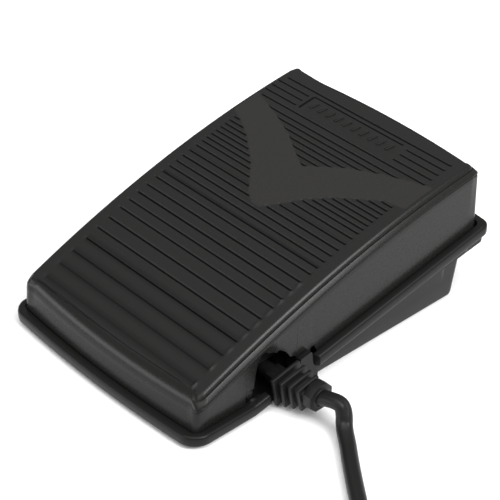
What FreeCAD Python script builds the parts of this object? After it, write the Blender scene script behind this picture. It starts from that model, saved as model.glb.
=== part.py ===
"""Foot pedal for a domestic sewing machine: hinged cover on a base tray, with its speed control inside.

Frame: X is the width (the cord leaves on +X), Y runs from the low front edge to the high rear edge,
Z is up, and the origin is on the floor under the middle of the pedal. Millimetres.
"""
import FreeCAD, Part
import math
import os
from FreeCAD import Placement, Rotation, Vector
from Sketcher import Constraint as Sketch_Constraint

X, Y, Z = Vector(1, 0, 0), Vector(0, 1, 0), Vector(0, 0, 1)

doc = FreeCAD.newDocument("sewing_machine_pedal")
dim = doc.addObject("Spreadsheet::Sheet", "dim")

SIZES = [
    ("tray_half_width", 52.25, "outside of the rim, from the middle"),
    ("tray_front", -73.6, "front corners of the rim"),
    ("tray_rear", 73.2, "rear corners of the rim"),
    ("tray_corner", 8.5, "corner radius of the rim in plan"),
    ("front_bow", 2.4, "how far the front edges bow outwards"),
    ("rear_bow", 2.8, "how far the rear edges bow outwards"),
    ("kink", -45.0, "where the rim starts to rise"),
    ("rim_slope", 0.187, "rise of the rim per millimetre behind the kink"),
    ("rim_low", 1.6, "underside of the rim at the front"),
    ("rim_thick", 4.2, "height of the rim"),
    ("floor_low", 0.8, "underside of the tray floor"),
    ("floor_thick", 2.0, "tray floor"),
    ("tub_half_width", 48.7, "outside of the tub at the floor"),
    ("tub_flare", 3.3, "how much wider the tub gets on its way up"),
    ("tub_rear", 58.2, "rear wall of the tub at the floor"),
    ("cover_half_width", 48.8, "outside of the cover"),
    ("cover_front", -69.8, "front corners of the cover"),
    ("cover_rear", 68.6, "rear corners of the cover"),
    ("cover_corner", 7.0, "corner radius of the cover in plan"),
    ("cover_wall", 2.0, "wall of the cover"),
    ("cover_gap", 0.4, "gap between the cover and the rim"),
    ("rear_gap", 1.3, "gap between the cover and the rim at the rear, for the swing of the cover"),
    ("skirt_lap", 0.5, "how far the skirt reaches below the rim's ledge"),
    ("nose_height", 18.4, "top of the cover where the nose starts to roll down"),
    ("nose_y", -65.5, "place of that point"),
    ("nose_radius", 7.5, "roll of the nose"),
    ("middle_height", 43.6, "top of the cover at the middle point of its curve"),
    ("middle_y", 5.5, "place of that point"),
    ("rear_height", 54.6, "top of the cover at its rear edge"),
    ("shoulder", 2.0, "step along the cover's top edges"),
    ("hinge_y", -44.3, "hinge rod"),
    ("hinge_z", 8.0, "hinge rod"),
    ("rod_radius", 1.5, "hinge rod"),
    ("rod_half_length", 47.8, "hinge rod"),
    ("knuckle_clearance", 0.05, "play of the knuckles on the rod"),
    ("stroke", 2.4, "how far the cover turns, degrees"),
    ("cord_y", -30.7, "middle of the cord inlet"),
    ("cord_z", 8.6, "middle of the cord inlet"),
    ("cord_radius", 3.0, "cord"),
    ("relief_end", 69.0, "outer end of the strain relief"),
    ("relief_width", 13.5, "strain relief along Y"),
    ("relief_height", 12.6, "strain relief, height"),
    ("rib_pitch", 3.2, "ribs of the strain relief"),
    ("board_left", -34.0, "circuit board"),
    ("board_right", 14.0, "circuit board"),
    ("board_front", -12.0, "circuit board"),
    ("board_rear", 45.0, "circuit board"),
    ("board_low", 9.0, "circuit board"),
    ("board_thick", 1.6, "circuit board"),
    ("wiper_y", 31.0, "axis of the wiper lever"),
    ("wiper_z", 19.0, "axis of the wiper lever"),
    ("wiper_arm", 13.0, "axis to roller centre"),
    ("roller_radius", 2.5, "rounded end of the wiper lever"),
    ("finger_gap", 0.3, "play between a cover finger and what it presses"),
    ("switch_y", -25.0, "limit switch"),
    ("spring_x", 25.0, "return springs"),
    ("spring_y", 50.5, "return springs"),
    ("spring_low", 6.0, "lower seat of the springs"),
    ("spring_high", 30.0, "upper seat of the springs"),
    ("spring_radius", 3.6, "middle of the spring wire"),
    ("spring_wire", 0.6, "radius of the spring wire"),
    ("spring_turns", 8.0, "turns of each spring"),
    ("buffer_x", 42.0, "end-of-travel buffers"),
    ("buffer_y", 30.0, "end-of-travel buffers"),
    ("buffer_high", 16.0, "top of the buffers"),
    ("foot_x", 38.0, "rubber feet"),
    ("foot_front", -60.0, "rubber feet"),
    ("foot_rear", 46.0, "rubber feet"),
    ("foot_radius", 5.0, "rubber feet"),
    ("coil_x", 126.8, "middle of the wound cord"),
    ("coil_y", -121.4, "middle of the wound cord"),
    ("coil_outer", 42.0, "outside radius of the wound cord"),
    ("coil_inner", 18.0, "inside radius of the wound cord"),
    ("coil_height", 12.0, "two layers of cord"),
]
for row, (alias, number, meaning) in enumerate(SIZES, start=1):
    dim.set(f"A{row}", alias)
    dim.set(f"B{row}", str(number))
    dim.set(f"C{row}", meaning)
    dim.setAlias(f"B{row}", alias)
doc.recompute()


def size(alias):
    """The plain number that the sheet holds under this alias."""
    return float(dim.get(alias))


parts = []


def sub_part(obj, label):
    """Name a finished sub-part and keep it for the export."""
    obj.Label = label
    parts.append(obj)
    return obj


def box(name, x, y, z):
    """A box between two formulas along each axis."""
    solid = doc.addObject("Part::Box", name)
    for side, axis, (low, high) in zip(("Length", "Width", "Height"), "xyz", (x, y, z)):
        solid.setExpression(side, f"({high}) - ({low})")
        solid.setExpression(f"Placement.Base.{axis}", f"{low}")
    return solid


TURNS = {"x": Rotation(Y, 90), "y": Rotation(X, -90), "z": Rotation()}


def cylinder(name, radius, height, at, axis="z"):
    """A cylinder that starts at a point and runs along +X, +Y or +Z."""
    solid = doc.addObject("Part::Cylinder", name)
    solid.Placement = Placement(Vector(), TURNS[axis])
    solid.setExpression("Radius", f"{radius}")
    solid.setExpression("Height", f"{height}")
    for letter, formula in zip("xyz", at):
        solid.setExpression(f"Placement.Base.{letter}", f"{formula}")
    return solid


def fuse(name, *solids):
    joined = doc.addObject("Part::MultiFuse", name)
    joined.Shapes = list(solids)
    return joined


def cut(name, base, *tools):
    left = doc.addObject("Part::Cut", name)
    left.Base = base
    left.Tool = tools[0] if len(tools) == 1 else fuse(name + "_tools", *tools)
    return left


def group(name, *solids):
    """Separate solids kept in one node, for identical pieces."""
    together = doc.addObject("Part::Compound", name)
    together.Links = list(solids)
    return together


def shape_feature(name, shape):
    feature = doc.addObject("Part::Feature", name)
    feature.Shape = shape
    return feature


def sketch_on(body, role, name):
    """A sketch on one of the body's own origin planes."""
    plane = next(f for f in body.Origin.OriginFeatures if f.Role == role)
    sketch = body.newObject("Sketcher::SketchObject", name)
    sketch.AttachmentSupport = [(plane, "")]
    sketch.MapMode = "FlatFace"
    return sketch


def polygon(sketch, corners):
    """A closed polygon whose corners are bound to formulas."""
    numbers = [(float(dim.evalExpression(a)), float(dim.evalExpression(b))) for a, b in corners]
    first = sketch.GeometryCount
    for index, (a, b) in enumerate(numbers):
        c, d = numbers[(index + 1) % len(numbers)]
        sketch.addGeometry(Part.LineSegment(Vector(a, b, 0), Vector(c, d, 0)), False)
    for index in range(len(numbers)):
        after = first + (index + 1) % len(numbers)
        sketch.addConstraint(Sketch_Constraint("Coincident", first + index, 2, after, 1))
    for index, (a, b) in enumerate(corners):
        for kind, formula, number in (("DistanceX", a, numbers[index][0]), ("DistanceY", b, numbers[index][1])):
            place = sketch.addConstraint(Sketch_Constraint(kind, -1, 1, first + index, 1, number))
            sketch.setExpression(f"Constraints[{place}]", formula)


def pad(body, sketch, length, name):
    feature = body.newObject("PartDesign::Pad", name)
    feature.Profile = sketch
    feature.setExpression("Length", f"{length}")
    return feature


# ---- outlines shared by the tray and the cover ------------------------------------------------

def plan_prism(half_width, front, rear, corner, low, high):
    """An upright block with bowed front and rear edges and rounded corners in plan."""
    left_front, right_front = Vector(-half_width, front, low), Vector(half_width, front, low)
    left_rear, right_rear = Vector(-half_width, rear, low), Vector(half_width, rear, low)
    bow_front = Vector(0, front - size("front_bow"), low)
    bow_rear = Vector(0, rear + size("rear_bow"), low)
    outline = Part.Wire([
        Part.Arc(left_front, bow_front, right_front).toShape(),
        Part.LineSegment(right_front, right_rear).toShape(),
        Part.Arc(right_rear, bow_rear, left_rear).toShape(),
        Part.LineSegment(left_rear, left_front).toShape(),
    ])
    block = Part.Face(outline).extrude(Vector(0, 0, high - low))
    upright = [e for e in block.Edges if abs(e.tangentAt(e.FirstParameter).z) > 0.99]
    return block.makeFillet(corner, upright)


def side_slab(edges, half_width):
    """A closed outline in the YZ plane, pushed out to both sides."""
    face = Part.Face(Part.Wire(Part.__sortEdges__(edges)))
    face.translate(Vector(-half_width, 0, 0))
    return face.extrude(Vector(2 * half_width, 0, 0))


def yz(y, z):
    return Vector(0, y, z)


def polyline(points, closed=False):
    if closed:
        points = points + points[:1]
    return [Part.LineSegment(a, b).toShape() for a, b in zip(points, points[1:])]


def ledge(y):
    """Height of the rim's top ledge at a place along the pedal."""
    flat = size("rim_low") + size("rim_thick")
    return flat + max(0.0, y - size("kink")) * size("rim_slope")


def band(front, rear, low_offsets, high_offset, half_width):
    """A slab that follows the rim's ledge, kink included.

    low_offsets gives the depth below the ledge at the front, the kink and the rear.
    """
    kink = size("kink")
    depth_front, depth_kink, depth_rear = low_offsets
    points = [
        yz(front, ledge(front) - depth_front),
        yz(kink, ledge(kink) - depth_kink),
        yz(rear, ledge(rear) - depth_rear),
        yz(rear, ledge(rear) + high_offset),
        yz(kink, ledge(kink) + high_offset),
        yz(front, ledge(front) + high_offset),
    ]
    return side_slab(polyline(points, closed=True), half_width)


SPAN = 120.0      # half length of a cutting block, past everything
TALL = 80.0       # height of a cutting block, past everything
FLOOR_TOP = size("floor_low") + size("floor_thick")
ROOT = 0.2        # how deep a post is set into the tray floor
POST_X = 37.0     # hinge posts of the tray
KNUCKLE_X = 42.5  # hinge knuckles of the cover
CLAMP_X = 38.0    # cord clamp and its two posts
CLAMP_POST_TOP = 11.6
SCREW_BORE = 1.3  # radius of a screw's shank and of the bore it cuts its thread in
SCREW_PLAY = 1.6  # radius of a hole that a screw passes through
INSIDE_SKIRT = 6.0  # how far the cover's inside is cut below its skirt
PIN_NOTCH = 3.15  # half width of the notch in the cover's wall round the rod's end


def skirt_drop(y):
    """How far the skirt goes down at full stroke."""
    return max(0.0, y - size("hinge_y")) * math.tan(math.radians(size("stroke")))


# ---- base tray --------------------------------------------------------------------------------

def tray_shell():
    front_depth = size("skirt_lap") + size("cover_gap")
    rear_depth = front_depth + skirt_drop(SPAN) + size("cover_gap")
    wall = 1.5
    rim = plan_prism(size("tray_half_width"), size("tray_front"), size("tray_rear"), size("tray_corner"),
                     0, TALL)
    thick = size("rim_thick")
    rim = rim.common(band(-SPAN, SPAN, (thick, thick, thick), 0, SPAN))

    inset = size("tray_half_width") - size("cover_half_width") - size("cover_gap") - wall
    pan = plan_prism(size("tray_half_width") - inset, 0, size("tray_rear") - inset,
                     size("tray_corner") - inset, 0, TALL)
    pan = pan.common(band(-SPAN, SPAN, (front_depth + wall, front_depth + wall, rear_depth + wall), -0.5, SPAN))
    pan = pan.common(Part.makeBox(2 * SPAN, 2 * SPAN, TALL, Vector(-SPAN, 20, 0)))

    low = size("floor_low")
    tub = tub_block(0.0, low).common(band(-SPAN, SPAN, (SPAN, SPAN, SPAN), -0.5, SPAN))
    solid = rim.fuse([pan, tub])

    gap = size("cover_gap")
    well = plan_prism(size("cover_half_width") + gap, size("cover_front") - gap,
                      size("cover_rear") + size("rear_gap"), size("cover_corner") + gap, 0, TALL)
    well = well.common(band(-SPAN, SPAN, (front_depth, front_depth, rear_depth), TALL, SPAN))
    inside = tub_block(2.0, low + size("floor_thick"))
    return solid.cut([well, inside]).removeSplitter()


def tub_block(wall, low):
    """The flared body of the tray, or its inside when a wall is taken off."""
    foot_half = size("tub_half_width") - wall
    front = size("tray_front") + 3.2 + wall
    rear = size("tub_rear") - wall
    top = 40.0
    rise = (top - low) / (top - size("floor_low"))
    flare = size("tub_flare") * rise
    wires = []
    for grow, height in ((0.0, low), (flare, top)):
        side = foot_half + grow
        corners = [Vector(-side, front, height), Vector(side, front, height),
                   Vector(side, rear + grow, height), Vector(-side, rear + grow, height)]
        wires.append(Part.Wire(polyline(corners, closed=True)))
    block = Part.makeLoft(wires, True, True)
    upright = [e for e in block.Edges if abs(e.tangentAt(e.FirstParameter).z) > 0.9]
    return block.makeFillet(5.0, upright)


def relief_turn(shape):
    """Lean a shape of the cord inlet with the slope of the rim."""
    turned = shape.copy()
    turned.rotate(Vector(0, size("cord_y"), size("cord_z")), X, math.degrees(math.atan(size("rim_slope"))))
    return turned


def floor_post(radius, x, y, top):
    """A round post that stands in the tray floor and ends at a height."""
    low = FLOOR_TOP - ROOT
    return Part.makeCylinder(radius, top - low, Vector(x, y, low))


def base_tray():
    solid = tray_shell()
    extra = []
    for side in (-1, 1):
        extra.append(Part.makeBox(4, 8, 9.0, Vector(side * POST_X - 2, size("hinge_y") - 4, FLOOR_TOP - ROOT)))
        spring_x, spring_y = side * size("spring_x"), size("spring_y")
        extra.append(floor_post(5.6, spring_x, spring_y, size("spring_low")))
        extra.append(Part.makeCylinder(2.3, 4.0, Vector(spring_x, spring_y, size("spring_low"))))
    for x, y in board_corners():
        extra.append(floor_post(3.0, x, y, size("board_low")))
    for y in clamp_rows():
        extra.append(floor_post(3.0, CLAMP_X, y, CLAMP_POST_TOP))
    extra.append(Part.makeBox(2.0, 7.2, 13.0, Vector(46.8, size("cord_y") + 7.4, 2.0)))
    solid = solid.fuse(extra)

    holes = [Part.makeCylinder(size("rod_radius"), SPAN, Vector(-SPAN / 2, size("hinge_y"), size("hinge_z")), X)]
    for x, y in board_corners():
        holes.append(Part.makeCylinder(SCREW_BORE, 7.5, Vector(x, y, size("board_low") - 5.5)))
    for y in clamp_rows():
        holes.append(Part.makeCylinder(SCREW_BORE, 9.0, Vector(CLAMP_X, y, 4.2)))
    for x, y in foot_places():
        holes.append(Part.makeCylinder(size("foot_radius"), 0.8, Vector(x, y, size("floor_low"))))
    window = Part.makeBox(12, size("relief_width"), size("relief_height") + 8,
                          Vector(44.5, size("cord_y") - size("relief_width") / 2,
                                 size("cord_z") - size("relief_height") / 2))
    holes.append(relief_turn(window))
    return solid.cut(holes).removeSplitter()


def board_corners():
    return [(x, y) for x in (size("board_left") + 4, size("board_right") - 4)
            for y in (size("board_front") + 4, size("board_rear") - 4)]


def clamp_rows():
    return (size("cord_y") - 9.0, size("cord_y") + 9.0)


def foot_places():
    return [(x, y) for x in (-size("foot_x"), size("foot_x")) for y in (size("foot_front"), size("foot_rear"))]


# ---- pedal cover ------------------------------------------------------------------------------

def cover_block(inset, drop, skirt):
    """The cover's outer form, or its inside: walls set in, top lowered, skirt at a depth."""
    half = size("cover_half_width") - inset
    front = size("cover_front") + inset
    rear = size("cover_rear") - inset
    nose = yz(size("nose_y") + inset * 0.6, size("nose_height") - drop)
    middle = yz(size("middle_y"), size("middle_height") - drop)
    back = yz(size("cover_rear") + size("rear_bow"), size("rear_height") - drop)
    outermost = front - size("front_bow")
    far_rear = rear + size("rear_bow") + 5
    end = yz(far_rear, back.z + 0.05 * (far_rear - back.y))
    turn = size("nose_radius") - inset * 0.5
    chin = yz(outermost - 0.6, nose.z - turn)
    brow = yz(outermost + 1.0, nose.z - turn * 0.38)
    edges = [
        Part.Arc(nose, middle, back).toShape(),
        Part.Arc(chin, brow, nose).toShape(),
        Part.LineSegment(back, end).toShape(),
    ]
    edges += polyline([end, yz(far_rear, ledge(far_rear) - skirt),
                       yz(size("kink"), ledge(size("kink")) - skirt),
                       yz(chin.y, ledge(chin.y) - skirt), chin])
    block = plan_prism(half, front, rear, size("cover_corner") - inset * 0.8, -5, TALL)
    return block.common(side_slab(edges, SPAN))


def stepped_block():
    """The cover's outer form with a step along its top edges, as a narrow shoulder all round."""
    body = cover_block(0.0, size("shoulder"), size("skirt_lap"))
    tread = cover_block(size("shoulder") * 0.8, 0.0, size("skirt_lap"))
    return body.fuse(tread).removeSplitter()


def pedal_cover():
    wall = size("cover_wall")
    outer = stepped_block()
    inner = cover_block(wall, wall + size("shoulder"), INSIDE_SKIRT)
    inner = inner.fuse(cover_block(size("shoulder") * 0.8 + wall + 0.4, wall + 0.2, INSIDE_SKIRT))
    shell = outer.cut(inner)

    heart = cover_block(wall, wall * 0.6, INSIDE_SKIRT)
    hinge_y, hinge_z = size("hinge_y"), size("hinge_z")
    ribs = []
    for side in (-1, 1):
        ribs.append(Part.makeBox(3, 8.4, TALL, Vector(side * KNUCKLE_X - 1.5, hinge_y - 4.2, hinge_z - 3.4)))
        ribs.append(Part.makeCylinder(3.4, TALL, Vector(side * size("spring_x"), size("spring_y"),
                                                         size("spring_high"))))
        stop_low = size("buffer_high") + 0.25 + skirt_drop(size("buffer_y") + 2.5)
        ribs.append(Part.makeBox(5, 5, TALL, Vector(side * size("buffer_x") - 2.5, size("buffer_y") - 2.5,
                                                     stop_low)))
    finger_y = size("wiper_y") - size("wiper_arm")
    finger_low = size("wiper_z") + size("roller_radius") + size("finger_gap")
    ribs.append(Part.makeBox(4, 4, TALL, Vector(-1, finger_y - 2, finger_low)))
    ribs.append(Part.makeBox(4, 4, TALL, Vector(21, size("switch_y") - 2, 13.5)))
    ribs = [rib.common(heart) for rib in ribs]
    solid = shell.fuse(ribs)

    bore = size("rod_radius") + size("knuckle_clearance")
    tools = [Part.makeCylinder(bore, 88.2, Vector(-44.1, hinge_y, hinge_z), X)]
    for side in (-1, 1):
        x = side * 48.0 - 3.5
        tools.append(Part.makeCylinder(PIN_NOTCH, 7, Vector(x, hinge_y, hinge_z - 0.2), X))
        tools.append(Part.makeBox(7, 2 * PIN_NOTCH, 12, Vector(x, hinge_y - PIN_NOTCH, hinge_z - 12.2)))
    tools.append(Part.makeBox(10, 27.2, 21, Vector(44.6, size("cord_y") - 10.4, -2)))
    return solid.cut(tools).removeSplitter()


tray = sub_part(shape_feature("base_tray", base_tray()), "base_tray")
cover = sub_part(shape_feature("pedal_cover", pedal_cover()), "pedal_cover")


# ---- feet, rod, clips, buffers ----------------------------------------------------------------

feet = [cylinder(f"foot_{i}", "dim.foot_radius - 0.1", "dim.floor_low + 0.8",
                 (f"{sx} * dim.foot_x", f"dim.{place}", "0"))
        for i, (sx, place) in enumerate([(-1, "foot_front"), (1, "foot_front"), (-1, "foot_rear"), (1, "foot_rear")])]
sub_part(group("rubber_feet_group", *feet), "rubber_feet")

sub_part(cylinder("rod", "dim.rod_radius", "2 * dim.rod_half_length",
                  ("-dim.rod_half_length", "dim.hinge_y", "dim.hinge_z"), "x"), "hinge_rod")

clips = []
for i, start in enumerate(("-dim.rod_half_length + 1.4", "dim.rod_half_length - 2.2")):
    at = (start, "dim.hinge_y", "dim.hinge_z")
    ring = cylinder(f"clip_ring_{i}", "2.6", "0.8", at, "x")
    hole = cylinder(f"clip_hole_{i}", "dim.rod_radius", "0.8", at, "x")
    clips.append(cut(f"clip_{i}", ring, hole))
sub_part(group("clips", *clips), "rod_clips")

buffers = [cylinder(f"buffer_{i}", "3.4", "dim.buffer_high - dim.floor_low - dim.floor_thick",
                    (f"{sx} * dim.buffer_x", "dim.buffer_y", "dim.floor_low + dim.floor_thick"))
           for i, sx in enumerate((-1, 1))]
sub_part(group("buffers", *buffers), "rubber_buffers")


# ---- return springs ---------------------------------------------------------------------------

def spring(side):
    low = size("spring_low") + size("spring_wire")
    high = size("spring_high") - size("spring_wire")
    radius, wire = size("spring_radius"), size("spring_wire")
    helix = Part.makeHelix((high - low) / size("spring_turns"), high - low, radius)
    start = Part.Wire(Part.makeCircle(wire, Vector(radius, 0, 0), Y))
    coil = Part.Wire(helix).makePipeShell([start], True, True)
    coil.translate(Vector(side * size("spring_x"), size("spring_y"), low))
    return coil


sub_part(shape_feature("spring_left", spring(-1)), "return_spring_left")
sub_part(shape_feature("spring_right", spring(1)), "return_spring_right")


# ---- circuit board and what is on it ----------------------------------------------------------

TOP = "dim.board_low + dim.board_thick"

board = doc.addObject("PartDesign::Body", "board")
outline = sketch_on(board, "XY_Plane", "board_outline")
polygon(outline, [("dim.board_left", "dim.board_front"), ("dim.board_right", "dim.board_front"),
                  ("dim.board_right", "dim.board_rear"), ("dim.board_left", "dim.board_rear")])
for x, y in board_corners():
    hole = outline.addGeometry(Part.Circle(Vector(x, y, 0), Z, SCREW_PLAY), False)
    outline.addConstraint(Sketch_Constraint("Radius", hole, SCREW_PLAY))
    outline.addConstraint(Sketch_Constraint("DistanceX", -1, 1, hole, 3, x))
    outline.addConstraint(Sketch_Constraint("DistanceY", -1, 1, hole, 3, y))
doc.recompute()
pad(board, outline, "dim.board_thick", "board_pad")
board.setExpression("Placement.Base.z", "dim.board_low")
sub_part(board, "circuit_board")

screws = []
for i, (x, y) in enumerate(board_corners()):
    shank = cylinder(f"board_screw_shank_{i}", SCREW_BORE, "7.0", (x, y, f"{TOP} - 7.0"))
    head = cylinder(f"board_screw_head_{i}", "2.7", "1.8", (x, y, TOP))
    screws.append(fuse(f"board_screw_{i}", shank, head))
sub_part(group("board_screw_group", *screws), "board_screws")

sink = doc.addObject("PartDesign::Body", "sink")
fins = sketch_on(sink, "XY_Plane", "sink_outline")
fin_count, fin_pitch, fin_thick = 5, 5.5, 1.2
corners = [("-24.6", "12"), ("-24.6", "36")]
for index in range(fin_count):
    start = 36 - index * fin_pitch
    corners += [("-32.4", f"{start}"), ("-32.4", f"{start - fin_thick}")]
    if index < fin_count - 1:
        corners += [("-27", f"{start - fin_thick}"), ("-27", f"{start - fin_pitch}")]
corners[-1] = ("-32.4", "12")
polygon(fins, corners)
doc.recompute()
pad(sink, fins, "18", "sink_pad")
sink.setExpression("Placement.Base.z", f"{TOP}")
sub_part(sink, "heat_sink")

tab_plate = box("triac_tab", ("-24.6", "-23.3"), ("19", "29"), (f"{TOP} + 4", f"{TOP} + 19"))
body_block = box("triac_block", ("-23.3", "-20"), ("19", "29"), (f"{TOP} + 4", f"{TOP} + 13"))
legs = [box(f"triac_leg_{i}", ("-22.4", "-21.8"), (f"{21.1 + 2.5 * i}", f"{21.8 + 2.5 * i}"), (TOP, f"{TOP} + 4"))
        for i in range(3)]
sub_part(fuse("triac", tab_plate, body_block, *legs), "power_triac")

choke = doc.addObject("Part::Torus", "choke")
choke.Radius1, choke.Radius2 = 6.6, 3.0
choke.setExpression("Placement.Base.x", "-14")
choke.setExpression("Placement.Base.y", "0")
choke.setExpression("Placement.Base.z", f"{TOP} + 3.0")
sub_part(choke, "suppression_choke")

sub_part(box("film_cap", ("-1", "6"), ("-9", "9"), (TOP, f"{TOP} + 12")), "film_capacitor")
sub_part(cylinder("small_cap", "3.0", "9", ("-29", "2", TOP)), "timing_capacitor")

resistors = [cylinder(f"resistor_{i}", "1.1", "7", (f"{8.4 + 2.9 * (i % 2)}", f"{-3.5 + 9 * (i // 2)}",
                                                      f"{TOP} + 1.1"), "y") for i in range(4)]
sub_part(group("resistor_group", *resistors), "resistors")

block = box("block", ("5", "13"), ("22", "36"), (TOP, f"{TOP} + 9"))
wells = []
for i, y in enumerate((26, 32)):
    wells.append(cylinder(f"block_screw_well_{i}", "1.9", "4", ("9", y, f"{TOP} + 5")))
    wells.append(cylinder(f"block_wire_well_{i}", "1.25", "4", ("9", y, f"{TOP} + 3"), "x"))
sub_part(cut("terminal", block, *wells), "terminal_block")
terminal_screws = [cylinder(f"terminal_screw_{i}", "1.8", "3.2", ("9", y, f"{TOP} + 5"))
                   for i, y in enumerate((26, 32))]
sub_part(group("terminal_screw_group", *terminal_screws), "terminal_screws")

pot_block = box("pot_block", ("-14", "-2"), ("dim.wiper_y - 7", "dim.wiper_y + 7"), (TOP, "dim.wiper_z + 7"))
pot_bore = cylinder("pot_bore", "2.55", "7", ("-9", "dim.wiper_y", "dim.wiper_z"), "x")
sub_part(cut("pot", pot_block, pot_bore), "potentiometer_body")

shaft = cylinder("wiper_shaft", "2.5", "11.5", ("-8.5", "dim.wiper_y", "dim.wiper_z"), "x")
hub = cylinder("wiper_hub", "4.2", "4", ("-1", "dim.wiper_y", "dim.wiper_z"), "x")
arm = box("wiper_arm_bar", ("-1", "3"), ("dim.wiper_y - dim.wiper_arm", "dim.wiper_y"),
          ("dim.wiper_z - 1.8", "dim.wiper_z + 1.8"))
roller = cylinder("wiper_roller", "dim.roller_radius", "4",
                  ("-1", "dim.wiper_y - dim.wiper_arm", "dim.wiper_z"), "x")
sub_part(fuse("wiper", shaft, hub, arm, roller), "wiper_lever")
sub_part(box("contact", ("3", "3.6"), ("dim.wiper_y - 12", "dim.wiper_y + 3"),
             ("dim.wiper_z - 1.2", "dim.wiper_z + 1.2")), "wiper_contact")


# ---- limit switch -----------------------------------------------------------------------------

switch_block = box("switch_block", ("19", "27"), ("dim.switch_y - 7", "dim.switch_y + 7"), ("2.8", "11.6"))
switch_bore = cylinder("switch_bore", "1.3", "4.6", ("23", "dim.switch_y", "7"))
sub_part(cut("switch", switch_block, switch_bore), "switch_body")
sub_part(cylinder("plunger", "1.22", "5.1", ("23", "dim.switch_y", "8.1")), "switch_plunger")


# ---- cord inlet: strain relief, clamp, inner leads --------------------------------------------

def strain_relief():
    """A ribbed block held in the tray wall, with an end plate whose corners are cut off."""
    width, height = size("relief_width"), size("relief_height")
    y, z, end = size("cord_y"), size("cord_z"), size("relief_end")
    gap = 0.05

    def slab(x0, x1, wide, high):
        return Part.makeBox(x1 - x0, wide, high, Vector(x0, y - wide / 2, z - high / 2))

    pieces = [slab(44.6, 52.0, width - 2 * gap, height - 2 * gap), slab(50.0, end - 3.0, width - 4, height - 4)]
    for index in range(4):
        start = 52.0 + index * size("rib_pitch")
        shrink = 0.5 * index
        pieces.append(slab(start, start + 1.7, width - shrink, height - shrink))
    plate = slab(end - 4.2, end, width - 1.5, height - 1.0)
    edges = [e for e in plate.Edges if abs(e.tangentAt(e.FirstParameter).x) > 0.9]
    pieces.append(plate.makeChamfer(3.0, edges))
    solid = pieces[0].fuse(pieces[1:]).removeSplitter()
    bore = Part.makeCylinder(size("cord_radius"), 12, Vector(40, y, z), X)
    return relief_turn(solid.cut(bore))


sub_part(shape_feature("relief", strain_relief()), "cord_strain_relief")

sub_part(cylinder("sheath", "dim.cord_radius", "18.6", ("33.4", "dim.cord_y", "dim.cord_z"), "x"),
         "inner_sheath")

clamp = doc.addObject("PartDesign::Body", "clamp")
clamp_sketch = sketch_on(clamp, "XY_Plane", "clamp_outline")
polygon(clamp_sketch, [("34.6", "dim.cord_y - 12.5"), ("40.6", "dim.cord_y - 12.5"),
                       ("40.6", "dim.cord_y + 12.5"), ("34.6", "dim.cord_y + 12.5")])
for y in clamp_rows():
    hole = clamp_sketch.addGeometry(Part.Circle(Vector(CLAMP_X, y, 0), Z, SCREW_PLAY), False)
    clamp_sketch.addConstraint(Sketch_Constraint("Radius", hole, SCREW_PLAY))
    clamp_sketch.addConstraint(Sketch_Constraint("DistanceX", -1, 1, hole, 3, CLAMP_X))
    clamp_sketch.addConstraint(Sketch_Constraint("DistanceY", -1, 1, hole, 3, y))
doc.recompute()
pad(clamp, clamp_sketch, "2.4", "clamp_pad")
clamp.setExpression("Placement.Base.z", "dim.cord_z + dim.cord_radius")
sub_part(clamp, "cord_clamp")

clamp_screws = []
for i, y in enumerate(clamp_rows()):
    shank = cylinder(f"clamp_screw_shank_{i}", SCREW_BORE, "9.4", (CLAMP_X, y, "4.6"))
    head = cylinder(f"clamp_screw_head_{i}", "2.8", "1.8", (CLAMP_X, y, "14.0"))
    clamp_screws.append(fuse(f"clamp_screw_{i}", shank, head))
sub_part(group("clamp_screw_group", *clamp_screws), "clamp_screws")


def bent_tube(points, radius, name):
    """A tube along straight runs joined by tangent arcs as large as the runs allow."""
    starts, arcs, smallest = [points[0]], [], math.inf
    for before, corner, after in zip(points, points[1:], points[2:]):
        to_before, to_after = before - corner, after - corner
        half_turn = (math.pi - to_before.getAngle(to_after)) / 2
        reach = 0.45 * min(to_before.Length, to_after.Length)
        smallest = min(smallest, reach / math.tan(half_turn))
        first = corner + to_before.normalize() * reach
        last = corner + to_after.normalize() * reach
        middle_way = (to_before + to_after).normalize()
        arc_radius = reach / math.tan(half_turn)
        middle = corner + middle_way * (arc_radius / math.cos(half_turn) - arc_radius)
        arcs.append(Part.Arc(first, middle, last).toShape())
        starts += [first, last]
    starts.append(points[-1])
    edges = []
    for index in range(0, len(starts), 2):
        edges.append(Part.LineSegment(starts[index], starts[index + 1]).toShape())
        if index // 2 < len(arcs):
            edges.append(arcs[index // 2])
    path = Part.Wire(edges)
    ring = Part.Wire(Part.makeCircle(radius, points[0], points[1] - points[0]))
    tube = path.makePipeShell([ring], True, False)
    print(f"{name}: smallest bend radius {smallest:.1f}, length {path.Length:.1f}, "
          f"volume ratio {tube.Volume / (math.pi * radius ** 2 * path.Length):.4f}")
    return tube


TERMINAL_Z = size("board_low") + size("board_thick") + 3
lead_a = [Vector(33.4, -32.0, 8.6), Vector(29.5, -31.4, 8.4), Vector(30.5, -14, 10), Vector(27, 8, 13),
          Vector(24, 23, TERMINAL_Z + 0.4), Vector(13.0, 26, TERMINAL_Z)]
lead_b = [Vector(33.4, -29.2, 8.6), Vector(32.2, -29.0, 8.5), Vector(33.5, -14, 10), Vector(30.5, 10, 13),
          Vector(26, 31, TERMINAL_Z + 0.4), Vector(13.0, 32, TERMINAL_Z)]
leads = [bent_tube(points, 1.1, f"inner lead {i}") for i, points in enumerate((lead_a, lead_b))]
sub_part(shape_feature("leads", Part.makeCompound(leads)), "inner_leads")


# ---- the free cord ----------------------------------------------------------------------------

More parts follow.
